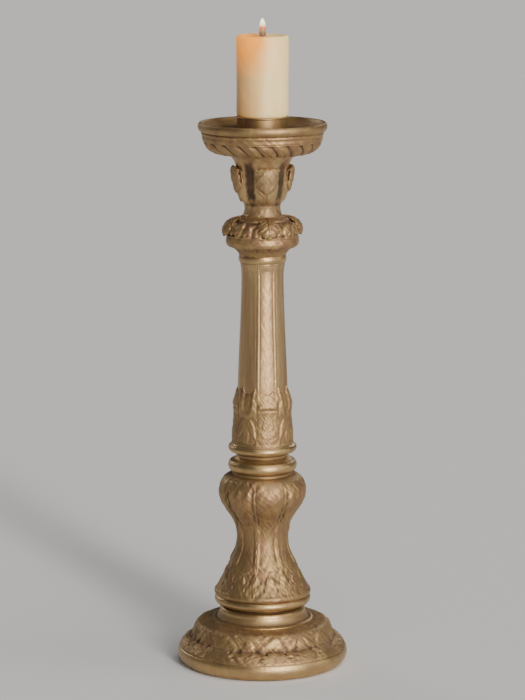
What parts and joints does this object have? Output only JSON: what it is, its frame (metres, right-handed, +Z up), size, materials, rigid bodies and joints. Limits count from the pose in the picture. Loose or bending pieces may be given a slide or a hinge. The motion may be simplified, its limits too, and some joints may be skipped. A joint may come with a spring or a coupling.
{
  "type": "altar candlestick",
  "caption": "Tall baluster candlestick of stacked ornamented brass sections on a tie rod, with a lift-off drip dish and a pillar candle on a pricket.",
  "frame": {"origin": "on the stick's axis, in the plane that the felt pad rests on", "axes": "+Z up along the axis; four of the eight ornament faces point along +X, -X, +Y and -Y"},
  "size_m": [0.1928, 0.1928, 0.724],
  "materials": {
    "antique_brass": "cast and chased, dulled gilding with brown patina in the hollows",
    "polished_brass": "turned, satin polish worn by handling",
    "steel": "plain turned",
    "iron": "rough sand cast",
    "felt": "dense green felt",
    "wax": "cast ivory wax, slightly translucent",
    "cotton": "braided cotton, burnt at the tip"
  },
  "bodies": {
    "stick": {"index_pins": "steel", "foot_pad": "felt", "base_plate": "steel", "tie_washer": "steel", "tie_nut": "steel", "tie_rod": "steel", "ballast_ring": "iron", "foot_rim": "polished_brass", "foot_dome": "antique_brass", "foot_collar": "polished_brass", "bell_ring": "polished_brass", "baluster": "antique_brass", "lower_annulet": "polished_brass", "upper_annulet": "polished_brass", "shaft": "antique_brass", "leaf_cup": "antique_brass", "necking_ring": "polished_brass", "capital_body": "antique_brass", "capital_leaves": "antique_brass", "knop_body": "antique_brass", "knop_leaves": "antique_brass", "drip_bowl": "antique_brass", "pricket": "steel"},
    "drip_dish": {"drip_dish": "polished_brass", "candle_cup": "polished_brass"},
    "candle": {"candle": "wax", "wick": "cotton"}
  },
  "joints": [
    {"name": "dish_lift", "type": "slide", "parent": "stick", "child": "drip_dish", "axis": [0, 0, 1], "range_m": [0, 0.08]},
    {"name": "candle_lift", "type": "slide", "parent": "drip_dish", "child": "candle", "axis": [0, 0, 1], "range_m": [0, 0.07]}
  ]
}
